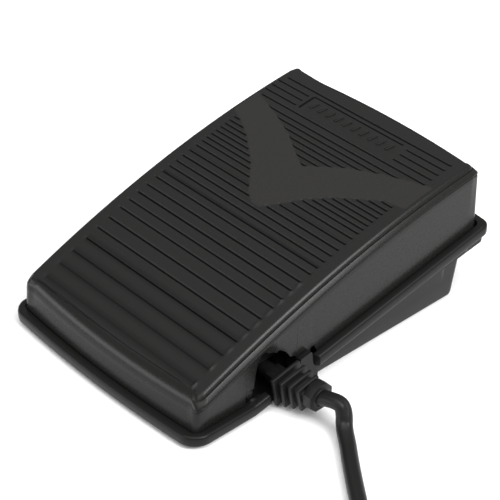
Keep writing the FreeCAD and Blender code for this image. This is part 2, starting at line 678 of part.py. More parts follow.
CORD_ROUTE = [Vector(69.0, -30.7, 8.6), Vector(77.5, -29.8, 8.4), Vector(83.5, -32.5, 4.2),
              Vector(91.0, -38.0, 3.05), Vector(105.5, -49.0, 3.1), Vector(127.0, -64.5, 3.05),
              Vector(145.0, -80.0, 3.1), Vector(158.0, -98.0, 3.05)]
TAIL_ROUTE = [Vector(126.8, -160.4, 9.0), Vector(114.0, -161.2, 8.6), Vector(103.5, -160.4, 5.4),
              Vector(97.0, -155.8, 3.7), Vector(90.0, -153.4, 3.6)]
sub_part(shape_feature("lead_tube", bent_tube(CORD_ROUTE, size("cord_radius"), "power cord")), "power_cord")
sub_part(shape_feature("tail_tube", bent_tube(TAIL_ROUTE, size("cord_radius"), "cord tail")), "cord_tail")


def wound_cord():
    """The outer form of the wound cord: a ring with rounded edges, two layers high."""
    outer, inner, height = size("coil_outer"), size("coil_inner"), size("coil_height")
    ring = Part.makeCylinder(outer, height).cut(Part.makeCylinder(inner, height))
    circles = [e for e in ring.Edges if e.Closed and len(e.Vertexes) == 1 and e.Curve.TypeId == "Part::GeomCircle"]
    ring = ring.makeFillet(2.6, circles)
    ring.translate(Vector(size("coil_x"), size("coil_y"), 0))
    return ring


sub_part(shape_feature("coil", wound_cord()), "cord_coil")


def cord_tie():
    """A strap round the wound cord, on the side away from the pedal."""
    width = size("coil_outer") - size("coil_inner")
    outer = Part.makeBox(width + 2.4, 8, size("coil_height") + 1.1,
                         Vector(size("coil_inner") - 1.2, -4, 0.0))
    hole = Part.makeBox(width, 8, size("coil_height"), Vector(size("coil_inner"), -4, 0.0))
    strap = outer.cut(hole)
    strap.rotate(Vector(), Z, -20)
    strap.translate(Vector(size("coil_x"), size("coil_y"), 0))
    return strap


sub_part(shape_feature("tie", cord_tie()), "cord_tie")

PLUG_Y, PLUG_Z, PLUG_X = -153.4, 6.2, 90.0
relief_cone = doc.addObject("Part::Cone", "plug_cone")
relief_cone.Radius1, relief_cone.Radius2, relief_cone.Height = 3.6, 5.0, 12.0
relief_cone.Placement = Placement(Vector(PLUG_X, PLUG_Y, 5.0), Rotation(Y, -90))
plug_block = box("plug_block", ("56", "79"), (f"{PLUG_Y - 10}", f"{PLUG_Y + 10}"), ("0.2", "12.4"))
plug_wells = [cylinder(f"plug_well_{i}", "1.6", "14", ("56", f"{PLUG_Y + 5.5 * (i - 1)}", f"{PLUG_Z}"), "x")
              for i in range(3)]
sub_part(cut("plug", fuse("plug_solid", relief_cone, plug_block), *plug_wells), "machine_plug")
sleeves = []
for i in range(3):
    at = ("57", f"{PLUG_Y + 5.5 * (i - 1)}", f"{PLUG_Z}")
    tube = cylinder(f"sleeve_tube_{i}", "1.6", "13", at, "x")
    hole = cylinder(f"sleeve_hole_{i}", "1.1", "12", at, "x")
    sleeves.append(cut(f"sleeve_{i}", tube, hole))
sub_part(group("sleeves", *sleeves), "plug_sleeves")


# ---- check and export -------------------------------------------------------------------------

doc.recompute()
for obj in doc.Objects:
    if any(word in obj.State for word in ("Invalid", "Error")):
        raise RuntimeError(f"{obj.Label}: {obj.State}")
for obj in parts:
    if obj.Shape.isNull() or not obj.Shape.isValid():
        raise RuntimeError(f"{obj.Label}: bad shape")
    if not obj.Shape.Solids:
        raise RuntimeError(f"{obj.Label}: no solid")

os.makedirs("parts", exist_ok=True)
for obj in parts:
    obj.Shape.exportStep(f"parts/{obj.Label}.step")
    b = obj.Shape.BoundBox
    print(f"{obj.Label:20s} solids {len(obj.Shape.Solids)}  volume {obj.Shape.Volume:9.1f}  "
          f"x {b.XMin:7.2f} {b.XMax:7.2f}  y {b.YMin:7.2f} {b.YMax:7.2f}  z {b.ZMin:6.2f} {b.ZMax:6.2f}")
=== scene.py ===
"""Looks of the sewing machine pedal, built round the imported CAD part.

Lengths here are millimetres and are turned into metres where a mesh is made. X is the width,
Y runs from the low front edge to the high rear edge, Z is up.
"""
import math

import bmesh
import bpy
import numpy as np
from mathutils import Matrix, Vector


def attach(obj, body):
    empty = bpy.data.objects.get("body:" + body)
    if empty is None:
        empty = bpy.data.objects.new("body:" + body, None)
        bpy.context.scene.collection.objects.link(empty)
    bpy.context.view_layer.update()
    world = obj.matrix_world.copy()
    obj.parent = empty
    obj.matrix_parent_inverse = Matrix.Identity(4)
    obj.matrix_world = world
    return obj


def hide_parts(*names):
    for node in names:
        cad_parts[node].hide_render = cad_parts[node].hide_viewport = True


MM = 0.001
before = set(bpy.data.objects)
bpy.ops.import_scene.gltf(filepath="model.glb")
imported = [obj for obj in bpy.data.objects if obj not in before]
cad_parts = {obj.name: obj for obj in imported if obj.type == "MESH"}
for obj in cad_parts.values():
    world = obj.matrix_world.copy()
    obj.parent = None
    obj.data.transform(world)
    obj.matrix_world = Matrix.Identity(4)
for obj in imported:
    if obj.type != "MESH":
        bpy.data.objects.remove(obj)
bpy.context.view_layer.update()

# ---- sizes that drive the shapes --------------------------------------------------------------

COVER_HALF, COVER_FRONT, COVER_REAR = 48.8, -69.8, 69.3
COVER_CORNERS = (6.0, 4.5)
CORNER_TIGHT = 0.36
TRAY_HALF, TRAY_FRONT, TRAY_REAR = 52.25, -73.6, 73.7
TRAY_CORNERS = (7.0, 3.0)
TUB_REAR, TUB_CORNER = 59.6, 3.2
FRONT_BOW, REAR_BOW = 2.4, 2.8
COVER_GAP, REAR_GAP = 0.4, 1.3
KINK_Y, LEDGE_LOW, LEDGE_SLOPE = -45.0, 5.8, 0.187
RIM_THICK = 4.2
RIM_GAP_DEPTH = 2.55
PAN_DEPTH, PAN_SLOPE, PAN_FLOOR_THICK, DEEP_PAN_Y = 0.9, 0.0442, 1.5, 20.0
TUB_FLARE = 3.3 / 39.2
SKIRT_LAP = 0.5
WALL = 2.0
DRAFT = -0.02
HINGE_Y, HINGE_Z = -44.3, 8.0
INLET_Y, INLET_Z = -30.7, 8.6
INLET_LEAN = math.atan(LEDGE_SLOPE)
RELIEF_END = 69.0
FLOOR_LOW, FLOOR_TOP = 0.8, 2.8
CROWN_Y, CROWN_Z, CROWN_SLOPE, CROWN_BEND = -60.0, 20.9, 0.42, 0.00123
SPRING_X, SPRING_Y = 25.0, 50.5
KNUCKLE_X, POST_X = 42.5, 37.0
CORNER_STEPS = 12
BOW_REACH = 14.0


def smooth(low, high, value):
    """0 below low, 1 above high, and a soft step between."""
    t = np.clip((value - low) / (high - low), 0.0, 1.0)
    return t * t * (3 - 2 * t)


def ledge(y):
    """Height of the tray's rim along the pedal: level at the front, then rising to the rear."""
    return LEDGE_LOW + np.maximum(0.0, y - KINK_Y) * LEDGE_SLOPE


def crown(y):
    """Height of the cover's top face along the pedal."""
    return CROWN_Z + CROWN_SLOPE * (y - CROWN_Y) - CROWN_BEND * (y - CROWN_Y) ** 2


# ---- mesh helpers -----------------------------------------------------------------------------

def make_object(name, points, faces, materials=(), indices=None, smooth_angle=35):
    """A mesh object from points in millimetres."""
    mesh = bpy.data.meshes.new(name)
    mesh.from_pydata([tuple(p) for p in np.asarray(points, float) * MM], [], [tuple(f) for f in faces])
    for material in materials:
        mesh.materials.append(material)
    if indices is not None:
        mesh.polygons.foreach_set("material_index", np.asarray(indices, np.int32))
    mesh.validate()
    work = bmesh.new()
    work.from_mesh(mesh)
    bmesh.ops.recalc_face_normals(work, faces=work.faces)
    work.to_mesh(mesh)
    work.free()
    mesh.update()
    obj = bpy.data.objects.new(name, mesh)
    bpy.context.scene.collection.objects.link(obj)
    mesh.shade_smooth()
    mesh.set_sharp_from_angle(angle=math.radians(smooth_angle))
    return obj


def ring_faces(count, rings):
    """Quads between rings of the same number of points that follow one another."""
    faces = []
    for ring in range(rings - 1):
        a = ring * count
        b = a + count
        for i in range(count):
            j = (i + 1) % count
            faces.append((a + i, a + j, b + j, b + i))
    return faces


def closed_faces(count, rings):
    """The same quads, with a flat face across each end."""
    last = (rings - 1) * count
    return ring_faces(count, rings) + [tuple(range(count))[::-1], tuple(range(last, last + count))]


def rounded_plan(half, front, rear, corners, side_steps, front_steps):
    """A rounded rectangle in plan, anticlockwise from the left end of the front edge.

    Returns the points and, for each, its share of the front edge and of the rear edge.
    """
    corner, back = corners
    length = rear - front - corner - back
    rows = []

    def edge(x, y, direction, shares):
        """The front or the rear edge, from a point towards the other side."""
        for k in range(front_steps):
            rows.append((x + direction * 2 * abs(x) * k / front_steps, y, *shares))

    def side(x, steps):
        for share in steps:
            rows.append((x, front + corner + length * share, 0, 0))

    def arc(x, y, radius, start, front_shares, rear_shares):
        """A quarter of a circle round a middle, with the shares at its start and at its end."""
        for k in range(CORNER_STEPS):
            share = k / CORNER_STEPS
            turn = math.radians(start + 90 * share)
            rows.append((x + radius * math.cos(turn), y + radius * math.sin(turn),
                         np.interp(share, (0, 1), front_shares), np.interp(share, (0, 1), rear_shares)))

    edge(corner - half, front, 1, (1, 0))
    arc(half - corner, front + corner, corner, -90, (1, 0), (0, 0))
    side(half, side_steps[:-1])
    arc(half - back, rear - back, back, 0, (0, 0), (0, 1))
    edge(half - back, rear, -1, (0, 1))
    arc(back - half, rear - back, back, 90, (0, 0), (1, 0))
    side(-half, side_steps[:0:-1])
    arc(corner - half, front + corner, corner, 180, (0, 1), (0, 0))
    table = np.array(rows, float)
    return table[:, :2], table[:, 2], table[:, 3]


def bow(plan, half, front, rear):
    """Bends the front and rear edges of a plan outwards."""
    x, y = plan[:, 0], plan[:, 1]
    bulge = np.clip(1 - (x / half) ** 2, 0, 1)
    near_front = 1 - smooth(front, front + BOW_REACH, y)
    near_rear = smooth(rear - BOW_REACH, rear, y)
    return np.stack([x, y - FRONT_BOW * bulge * near_front + REAR_BOW * bulge * near_rear], 1)


def rounded_box(low, high, radius=0.5, steps=2):
    """Points and faces of a box with rounded edges."""
    low, high = np.array(low, float), np.array(high, float)
    radius = min(radius, 0.49 * float((high - low).min()))
    ticks = [math.radians(90 * k / steps) for k in range(steps + 1)]
    levels = [(low[2] + radius - radius * math.sin(turn), turn) for turn in ticks[::-1]]
    levels += [(high[2] - radius + radius * math.sin(turn), turn) for turn in ticks]
    corners = ((high[0] - radius, low[1] + radius, -90), (high[0] - radius, high[1] - radius, 0),
               (low[0] + radius, high[1] - radius, 90), (low[0] + radius, low[1] + radius, 180))
    points = []
    for z, turn in levels:
        reach = radius * math.cos(turn)
        for x, y, start in corners:
            for tick in ticks:
                angle = math.radians(start) + tick
                points.append((x + reach * math.cos(angle), y + reach * math.sin(angle), z))
    return np.array(points), closed_faces(len(corners) * len(ticks), len(levels))


def turned(profile, axis, at, steps=36):
    """A turned piece: (place along the axis, radius) pairs spun round an axis through a point."""
    points = []
    for along, radius in profile:
        for k in range(steps):
            angle = 2 * math.pi * k / steps
            u, v = radius * math.cos(angle), radius * math.sin(angle)
            points.append({"x": (along, u, v), "z": (u, v, along)}[axis])
    return np.array(points) + np.array(at, float), closed_faces(steps, len(profile))


class Pile:
    """Gathers several closed shapes into one mesh."""

    def __init__(self):
        self.points, self.faces, self.indices = [], [], []

    def add(self, shape, material=0):
        points, faces = shape
        start = len(self.points)
        self.points += [tuple(p) for p in points]
        self.faces += [tuple(start + i for i in f) for f in faces]
        self.indices += [material] * len(faces)

    def build(self, name, materials, smooth_angle=35):
        return make_object(name, self.points, self.faces, materials, self.indices, smooth_angle)


# ---- materials --------------------------------------------------------------------------------

BUMP_DEPTH, ROUGH_SPREAD = 0.1, 0.06
PATTERN_BUMP, PATTERN_LIGHT = 0.7, 1.85
# painted shade in the grooves: the scale on the base colour there, and the gloss there
GROOVE_SHADE_DARKENING, GROOVE_SHADE_GLOSS = 0.2, 0.02


def paint_pattern_and_groove_shade(nodes, links, shader, bump, colour, grain, gloss, pattern):
    """Makes the patterned parts lighter and rougher, and paints shade into the grooves: a darker colour and
    less gloss.
    """
    mask = nodes.new("ShaderNodeAttribute")
    mask.attribute_name = pattern
    extra = nodes.new("ShaderNodeMath")
    extra.operation = "MULTIPLY_ADD"
    extra.inputs[1].default_value = PATTERN_BUMP
    extra.inputs[2].default_value = grain
    links.new(mask.outputs["Fac"], extra.inputs[0])
    links.new(extra.outputs["Value"], bump.inputs["Strength"])
    paint = nodes.new("ShaderNodeMix")
    paint.data_type = "RGBA"
    paint.inputs[6].default_value = (*colour, 1)
    paint.inputs[7].default_value = (*[c * PATTERN_LIGHT for c in colour], 1)
    links.new(mask.outputs["Fac"], paint.inputs["Factor"])
    # painted shade in the grooves: this attribute darkens the colour and lowers the gloss where the grooves
    # lie
    painted_groove_shade = nodes.new("ShaderNodeAttribute")
    painted_groove_shade.attribute_name = "painted_groove_shade"
    shade = nodes.new("ShaderNodeMix")
    shade.data_type = "RGBA"
    shade.inputs[7].default_value = (*[c * GROOVE_SHADE_DARKENING for c in colour], 1)
    links.new(paint.outputs[2], shade.inputs[6])
    links.new(painted_groove_shade.outputs["Fac"], shade.inputs["Factor"])
    links.new(shade.outputs[2], shader.inputs["Base Color"])
    shade_gloss = nodes.new("ShaderNodeMapRange")
    shade_gloss.inputs["To Min"].default_value = gloss
    shade_gloss.inputs["To Max"].default_value = GROOVE_SHADE_GLOSS
    links.new(painted_groove_shade.outputs["Fac"], shade_gloss.inputs["Value"])
    links.new(shade_gloss.outputs["Result"], shader.inputs["Specular IOR Level"])


def plastic(name, colour, rough, grain=0.0, grain_size=0.6, gloss=0.5, metallic=0.0, pattern=None):
    """A plain material with a fine procedural grain in its gloss and its bump."""
    material = bpy.data.materials.new(name)
    material.use_nodes = True
    nodes, links = material.node_tree.nodes, material.node_tree.links
    shader = nodes["Principled BSDF"]
    shader.inputs["Base Color"].default_value = (*colour, 1)
    shader.inputs["Roughness"].default_value = rough
    shader.inputs["Metallic"].default_value = metallic
    shader.inputs["Specular IOR Level"].default_value = gloss
    if not grain:
        return material
    place = nodes.new("ShaderNodeTexCoord")
    noise = nodes.new("ShaderNodeTexNoise")
    noise.inputs["Scale"].default_value = 1 / (grain_size * MM)
    noise.inputs["Detail"].default_value = 3
    links.new(place.outputs["Object"], noise.inputs["Vector"])
    bump = nodes.new("ShaderNodeBump")
    bump.inputs["Distance"].default_value = BUMP_DEPTH * MM
    bump.inputs["Strength"].default_value = grain
    links.new(noise.outputs["Fac"], bump.inputs["Height"])
    links.new(bump.outputs["Normal"], shader.inputs["Normal"])
    spread = nodes.new("ShaderNodeMapRange")
    spread.inputs["To Min"].default_value = max(0.05, rough - ROUGH_SPREAD)
    spread.inputs["To Max"].default_value = min(1.0, rough + ROUGH_SPREAD)
    links.new(noise.outputs["Fac"], spread.inputs["Value"])
    links.new(spread.outputs["Result"], shader.inputs["Roughness"])
    if pattern:
        paint_pattern_and_groove_shade(nodes, links, shader, bump, colour, grain, gloss, pattern)
    return material


TOP = plastic("cover_top", (0.0085, 0.0082, 0.0078), 0.45, grain=0.30, grain_size=0.5, gloss=0.26,
              pattern="pattern")
SIDE = plastic("cover_side", (0.0115, 0.0113, 0.0108), 0.26, grain=0.05, grain_size=1.2, gloss=0.17)
TRAY = plastic("tray_plastic", (0.0085, 0.0083, 0.008), 0.32, grain=0.06, grain_size=1.0, gloss=0.13)
RUBBER = plastic("foot_rubber", (0.012, 0.012, 0.012), 0.75, grain=0.3, grain_size=0.5)
STEEL = plastic("steel", (0.55, 0.55, 0.56), 0.28, grain=0.05, grain_size=0.8, metallic=1.0)
LAMINATE = plastic("board_laminate", (0.10, 0.055, 0.02), 0.5, grain=0.15, grain_size=0.9)
ALUMINIUM = plastic("aluminium", (0.72, 0.73, 0.74), 0.35, grain=0.08, grain_size=0.7, metallic=1.0)
MOULDED = plastic("moulded_black", (0.012, 0.012, 0.013), 0.45, grain=0.15, grain_size=0.6)
COPPER = plastic("copper_winding", (0.60, 0.22, 0.09), 0.30, grain=0.2, grain_size=0.5, metallic=1.0)
CASE = plastic("capacitor_case", (0.55, 0.30, 0.04), 0.38, grain=0.05, grain_size=1.0)
SLEEVE = plastic("capacitor_sleeve", (0.02, 0.03, 0.09), 0.35, grain=0.05, grain_size=1.0)
RESISTOR = plastic("resistor_body", (0.50, 0.36, 0.20), 0.45, grain=0.1, grain_size=0.5)
TERMINAL = plastic("terminal_plastic", (0.03, 0.16, 0.05), 0.4, grain=0.08, grain_size=0.8)
LEVER = plastic("lever_plastic", (0.62, 0.60, 0.55), 0.4, grain=0.08, grain_size=0.8)
BRASS = plastic("brass", (0.72, 0.52, 0.20), 0.28, grain=0.05, grain_size=0.8, metallic=1.0)
CORD = plastic("cord_pvc", (0.008, 0.008, 0.0077), 0.42, grain=0.15, grain_size=1.0, gloss=0.2)
ROD = plastic("rod_steel", (0.12, 0.12, 0.12), 0.4, grain=0.05, grain_size=0.8, metallic=1.0)
LEAD = plastic("lead_pvc", (0.30, 0.05, 0.03), 0.4, grain=0.05, grain_size=0.8)
PLUG = plastic("plug_pvc", (0.012, 0.012, 0.012), 0.4, grain=0.12, grain_size=0.8)
TIE = plastic("tie_wire", (0.02, 0.02, 0.02), 0.35, grain=0.1, grain_size=0.6)

CARRIED = {
    "return_spring_left": (STEEL, "steel"), "return_spring_right": (STEEL, "steel"),
    "rod_clips": (STEEL, "steel"), "circuit_board": (LAMINATE, "board_laminate"),
    "board_screws": (STEEL, "steel"), "heat_sink": (ALUMINIUM, "aluminium"),
    "power_triac": (MOULDED, "moulded_black"), "suppression_choke": (COPPER, "copper_winding"),
    "film_capacitor": (CASE, "capacitor_case"), "timing_capacitor": (SLEEVE, "capacitor_sleeve"),
    "resistors": (RESISTOR, "resistor_body"), "terminal_block": (TERMINAL, "terminal_plastic"),
    "terminal_screws": (STEEL, "steel"), "potentiometer_body": (MOULDED, "moulded_black"),
    "wiper_lever": (LEVER, "lever_plastic"), "wiper_contact": (BRASS, "brass"),
    "switch_body": (MOULDED, "moulded_black"), "switch_plunger": (LEVER, "lever_plastic"),
    # the cord clamp's black is partly painted shade: it keeps the closed inside dark where it shows through
    # the cover's side opening
    "inner_sheath": (CORD, "cord_pvc"), "cord_clamp": (MOULDED, "moulded_black"),
    "clamp_screws": (ROD, "steel"), "inner_leads": (LEAD, "lead_pvc"),
    "hinge_rod": (ROD, "steel"), "rubber_buffers": (RUBBER, "foot_rubber"),
    "rubber_feet": (RUBBER, "foot_rubber"),
}


def finish_carried_nodes():
    """The inner pieces keep their CAD shapes and get a material each."""
    for name, (material, slot) in CARRIED.items():
        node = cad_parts[name]
        node.data.materials.clear()
        node.data.materials.append(material)
        node.data.shade_smooth()
        node.data.set_sharp_from_angle(angle=math.radians(30))


# ---- pattern of the cover's top face ----------------------------------------------------------

GROOVE_HALF, GROOVE_DEPTH = 0.55, 0.55


def run_of_grooves(start, pitch, count):
    return [start + pitch * k for k in range(count)]


FRONT_GROOVES = run_of_grooves(-63.2, 6.5, 4)
MAIN_GROOVES = (run_of_grooves(-38.15, 5.55, 3) + run_of_grooves(-22.6, 4.45, 4)
                + run_of_grooves(-5.8, 3.37, 6) + [14.1] + run_of_grooves(16.5, 2.4, 7))
INNER_GROOVES = run_of_grooves(27.5, 2.65, 7)
REAR_GROOVES = run_of_grooves(47.0, 3.5, 5)
TICKS = (-64.4, -56.2, -48.2, -41.4, -35.7, -29.7, -24.4, -19.6, -15.6)
V_OUTER = [(-48.0, 34.0), (-43.2, 32.2), (-32.4, 26.6), (-18.7, 16.6), (-7.2, 4.9), (-2.5, 2.4),
           (1.5, 2.4), (6.2, 7.4), (12.2, 14.6), (20.5, 22.0), (36.6, 31.7), (48.0, 33.5)]
V_INNER = [(-48.0, 47.0), (-44.3, 45.7), (-31.8, 41.7), (-19.7, 36.7), (-5.9, 28.9), (-1.5, 26.8),
           (1.9, 29.2), (13.0, 36.3), (25.8, 41.8), (37.4, 45.5), (48.0, 48.3)]
LEFT_ENDS, RIGHT_ENDS = -43.4, 40.6
TICK_X, TICK_HEIGHT = 41.2, 0.45
PLATE_LEFT, PLATE_TOP = -27.9, 58.75


def between(outline, x):
    """Height of an outline given as points from left to right."""
    return np.interp(x, [p[0] for p in outline], [p[1] for p in outline])


def groove(distance, half_width, depth):
    """Depth of a rounded groove at a distance from its middle line."""
    return depth * np.clip(1 - (distance / half_width) ** 2, 0, 1) ** 0.8


def pattern_depth(x, y):
    """How far the pattern lies below the plain top face, how much painted shade its grooves get, and where
    the flat V is.
    """
    ahead = smooth(-0.35, 0.35, between(V_OUTER, x) - y)
    behind = smooth(-0.35, 0.35, y - between(V_INNER, x))
    depth = np.zeros_like(x)
    left_end = smooth(0, 0.8, x - LEFT_ENDS + 0.012 * (y + 60))
    right_end = 1 - smooth(0, 0.7, x - RIGHT_ENDS)
    for index, middle in enumerate(FRONT_GROOVES):
        wide = groove(y - middle, 2.0, 0.16) + groove(y - middle, 0.45, 0.08 + 0.11 * index)
        depth = np.maximum(depth, wide * left_end * right_end)
    for middle in MAIN_GROOVES:
        line = groove(y - middle, GROOVE_HALF, GROOVE_DEPTH) * left_end * right_end
        depth = np.maximum(depth, line * ahead)
    for middle in INNER_GROOVES:
        depth = np.maximum(depth, groove(y - middle, GROOVE_HALF, GROOVE_DEPTH) * behind)
    for middle, full in zip(REAR_GROOVES, (True, False, False, False, True)):
        reach = smooth(-46.2, -45.4, x) if full else smooth(-50.0, -49.0, x)
        line = reach * (1 - smooth(41.0, 42.2, x))
        if not full:
            line = line * np.maximum(1 - smooth(-30.4, -29.6, x), smooth(21.6, 22.4, x))
        depth = np.maximum(depth, groove(y - middle, GROOVE_HALF, GROOVE_DEPTH) * line * behind)
    plate_side = groove(x - PLATE_LEFT, 0.7, 0.6) * smooth(49.8, 50.3, y) * (1 - smooth(58.7, 59.2, y))
    plate_top = groove(y - PLATE_TOP, 0.5, 0.6) * smooth(-28.6, -28.1, x) * (1 - smooth(19.0, 19.6, x))
    depth = np.maximum(depth, np.maximum(0.3 * plate_side, plate_top))
    # share of painted shade for the grooves and the plate's side edge, fullest where they are deepest
    painted_groove_shade = np.clip(np.maximum(depth, plate_side) / GROOVE_DEPTH, 0, 1)
    for y_tick in TICKS:
        bump = np.exp(-((x - TICK_X) / 0.45) ** 2 - ((y - y_tick - 0.6) / 1.5) ** 4)
        depth = depth - TICK_HEIGHT * bump
    return depth, painted_groove_shade, 1 - np.maximum(ahead, behind)


def pattern_rows(front, rear):
    """Places of the mesh rows: an even spread, and closer rows at every groove."""
    rows = list(np.arange(front, rear, 0.9)) + [rear]
    for middle in FRONT_GROOVES + MAIN_GROOVES + INNER_GROOVES + REAR_GROOVES + [PLATE_TOP]:
        rows += [middle + GROOVE_HALF * step for step in (-1, -0.7, -0.35, 0, 0.35, 0.7, 1)]
    rows = sorted(row for row in rows if front <= row <= rear)
    kept = [rows[0]]
    for row in rows[1:]:
        if row - kept[-1] > 0.11:
            kept.append(row)
    kept[-1] = rear
    return np.array(kept)


# ---- pedal cover ------------------------------------------------------------------------------

SHOULDER = [(3.9, 0.0), (3.4, 0.0), (3.0, 0.03), (2.85, 0.12), (1.95, 1.02), (1.84, 1.3), (1.75, 1.75),
            (1.6, 1.75), (1.5, 1.5), (1.38, 1.5), (0.2, 2.72), (0.04, 2.95), (0.0, 3.2), (0.3, 3.4),
            (0.3, 3.75), (0.06, 3.9), (0.0, 4.2)]
LEFT_SHOULDER = 0.4
NOSE_REACH, NOSE_DROP = 4.4, 4.4
FRONT_LEAN, REAR_LEAN = 1.5, 1.5
HOOD = [(-42.4, 16.6), (-41.4, 21.6), (-39.8, 23.8), (-38.1, 24.2), (-35.5, 22.9), (-33.4, 21.8),
        (-31.0, 21.6), (-28.6, 20.0), (-26.1, 16.4), (-22.9, 14.6)]
SLOT = [(-16.6, 13.9), (-15.4, 14.7), (-14.4, 14.6), (-12.6, 10.6), (-11.6, 7.5)]
SCALLOP, SCALLOP_PITCH = 0.6, 3.4
NOTCH_RADIUS, NOTCH_Z = 3.15, HINGE_Z - 0.2


def skirt_low(x, y):
    """Lower edge of the cover's walls, with the rod notches, the cord's opening and the slot beside it."""
    low = ledge(y) - SKIRT_LAP
    side = np.abs(x) > COVER_HALF - 1.5
    notch = NOTCH_Z + np.sqrt(np.clip(NOTCH_RADIUS ** 2 - (y - HINGE_Y) ** 2, 0, None))
    low = np.where(side & (np.abs(y - HINGE_Y) < NOTCH_RADIUS), np.maximum(low, notch), low)
    scallops = SCALLOP * np.abs(np.sin((y + 41.0) * math.pi / SCALLOP_PITCH))
    for outline, waves in ((HOOD, scallops), (SLOT, 0)):
        inside = (x > COVER_HALF - 1.5) & (y > outline[0][0]) & (y < outline[-1][0])
        low = np.where(inside, np.maximum(low, between(outline, y) - waves), low)
    return low


def corner_reach(direction):
    """How far a tightened corner stands out along a direction, when the plain corner has radius 1."""
    long, short = max(np.abs(direction)), min(np.abs(direction))
    middle = 1 - CORNER_TIGHT
    if short / long <= middle:
        return 1 / long
    along = (long + short) * middle
    return along + math.sqrt(max(0.0, along ** 2 - 2 * middle ** 2 + CORNER_TIGHT ** 2))


SIDE_ROWS = pattern_rows(COVER_FRONT + COVER_CORNERS[0], COVER_REAR - COVER_CORNERS[1])
SIDE_SHARE = (SIDE_ROWS - SIDE_ROWS[0]) / (SIDE_ROWS[-1] - SIDE_ROWS[0])
FRONT_STEPS = 170


class CoverOutline:
    """The cover's outline in plan, which can be moved inwards."""

    def __init__(self):
        points, self.front_share, self.rear_share = rounded_plan(
            COVER_HALF, COVER_FRONT, COVER_REAR, COVER_CORNERS, SIDE_SHARE, FRONT_STEPS)
        x, y = points[:, 0], points[:, 1]
        self.radius = np.where(y < 0, COVER_CORNERS[0], COVER_CORNERS[1])
        self.middles = np.column_stack([np.clip(x, self.radius - COVER_HALF, COVER_HALF - self.radius),
                                        np.clip(y, COVER_FRONT + self.radius, COVER_REAR - self.radius)])
        self.away = (points - self.middles) / self.radius[:, None]
        self.away /= np.linalg.norm(self.away, axis=1)[:, None]
        self.reach = np.array([corner_reach(direction) for direction in self.away])
        self.least = np.where(np.abs(self.away).min(axis=1) > 1e-6, 0.4, -np.inf)
        self.shift = bow(points, COVER_HALF, COVER_FRONT, COVER_REAR) - points

    def inset(self, distance):
        """The outline moved inwards by a distance that may differ from point to point."""
        left = np.maximum(self.radius - distance, self.least) * self.reach
        return self.middles + left[:, None] * self.away + self.shift


def cover_rings(outline):
    """Rings from the top face's border, over the shoulder or the nose, and down to the skirt."""
    share = smooth(0.05, 0.95, outline.front_share)
    edge = outline.inset(0.0)
    narrow = LEFT_SHOULDER + (1 - LEFT_SHOULDER) * smooth(-COVER_HALF, -30.0, edge[:, 0])
    top = crown(outline.inset(SHOULDER[0][0])[:, 1])
    rings = []
    for index, (inset, drop) in enumerate(SHOULDER):
        turn = math.pi / 2 * index / (len(SHOULDER) - 1)
        nose_inset = FRONT_LEAN + NOSE_REACH * (1 - math.sin(turn))
        nose_drop = NOSE_DROP * (1 - math.cos(turn))
        here_inset = (narrow * inset + REAR_LEAN * outline.rear_share) * (1 - share) + nose_inset * share
        here_drop = narrow * drop * (1 + 0.5 * outline.rear_share) * (1 - share) + nose_drop * share
        slope_inset = DRAFT * np.maximum(0, top - here_drop - ledge(edge[:, 1]))
        ring = outline.inset(here_inset + slope_inset)
        rings.append(np.column_stack([ring, crown(ring[:, 1]) - here_drop]))
    return rings


def cover_walls(outline, border, last):
    """Rings from the shoulder's lower edge down the walls, round the skirt and up to the ceiling."""
    edge = outline.inset(0.0)
    low = skirt_low(edge[:, 0], edge[:, 1])
    share = smooth(0.05, 0.95, outline.front_share)
    slope_inset = DRAFT * np.maximum(0, last[:, 2] - ledge(edge[:, 1]))
    slope_inset += FRONT_LEAN * share + REAR_LEAN * outline.rear_share
    walls = []
    for share in (0.08, 0.2, 0.4, 0.6, 0.8, 0.95, 1.0):
        ring = outline.inset(slope_inset * (1 - share))
        walls.append(np.column_stack([ring, last[:, 2] + (low - last[:, 2]) * share]))
    for inset, rise in ((0.25, 0.0), (WALL - 0.2, 0.0), (WALL, 0.2)):
        walls.append(np.column_stack([outline.inset(np.full(len(edge), inset)), low + rise]))
    ceiling = np.maximum(border[:, 2] - 6.6, low + 0.3)
    for share in (0.35, 0.7, 1.0):
        height = low + 0.2 + (ceiling - low - 0.2) * share
        walls.append(np.column_stack([outline.inset(WALL + (0.6 + slope_inset) * share), height]))
    lid = outline.inset(5.4 + 2.0 * outline.front_share)
    walls.append(np.column_stack([lid, np.maximum(crown(lid[:, 1]) - 2.0, ceiling)]))
    return walls


def cover_rows(count):
    """Pairs of border points that face each other, and the two rows along the front and rear edges."""
    sides = len(SIDE_SHARE) - 1
    right = FRONT_STEPS + CORNER_STEPS
    rear = right + sides + CORNER_STEPS
    left = rear + FRONT_STEPS + CORNER_STEPS
    pairs = [((right + row) % count, (left + sides - row) % count)
             for row in range(-CORNER_STEPS, sides + CORNER_STEPS + 1)]
    front_row = [(FRONT_STEPS - k) % count for k in range(FRONT_STEPS + 1)]
    rear_row = [(rear + k) % count for k in range(FRONT_STEPS + 1)]
    return pairs, front_row, rear_row


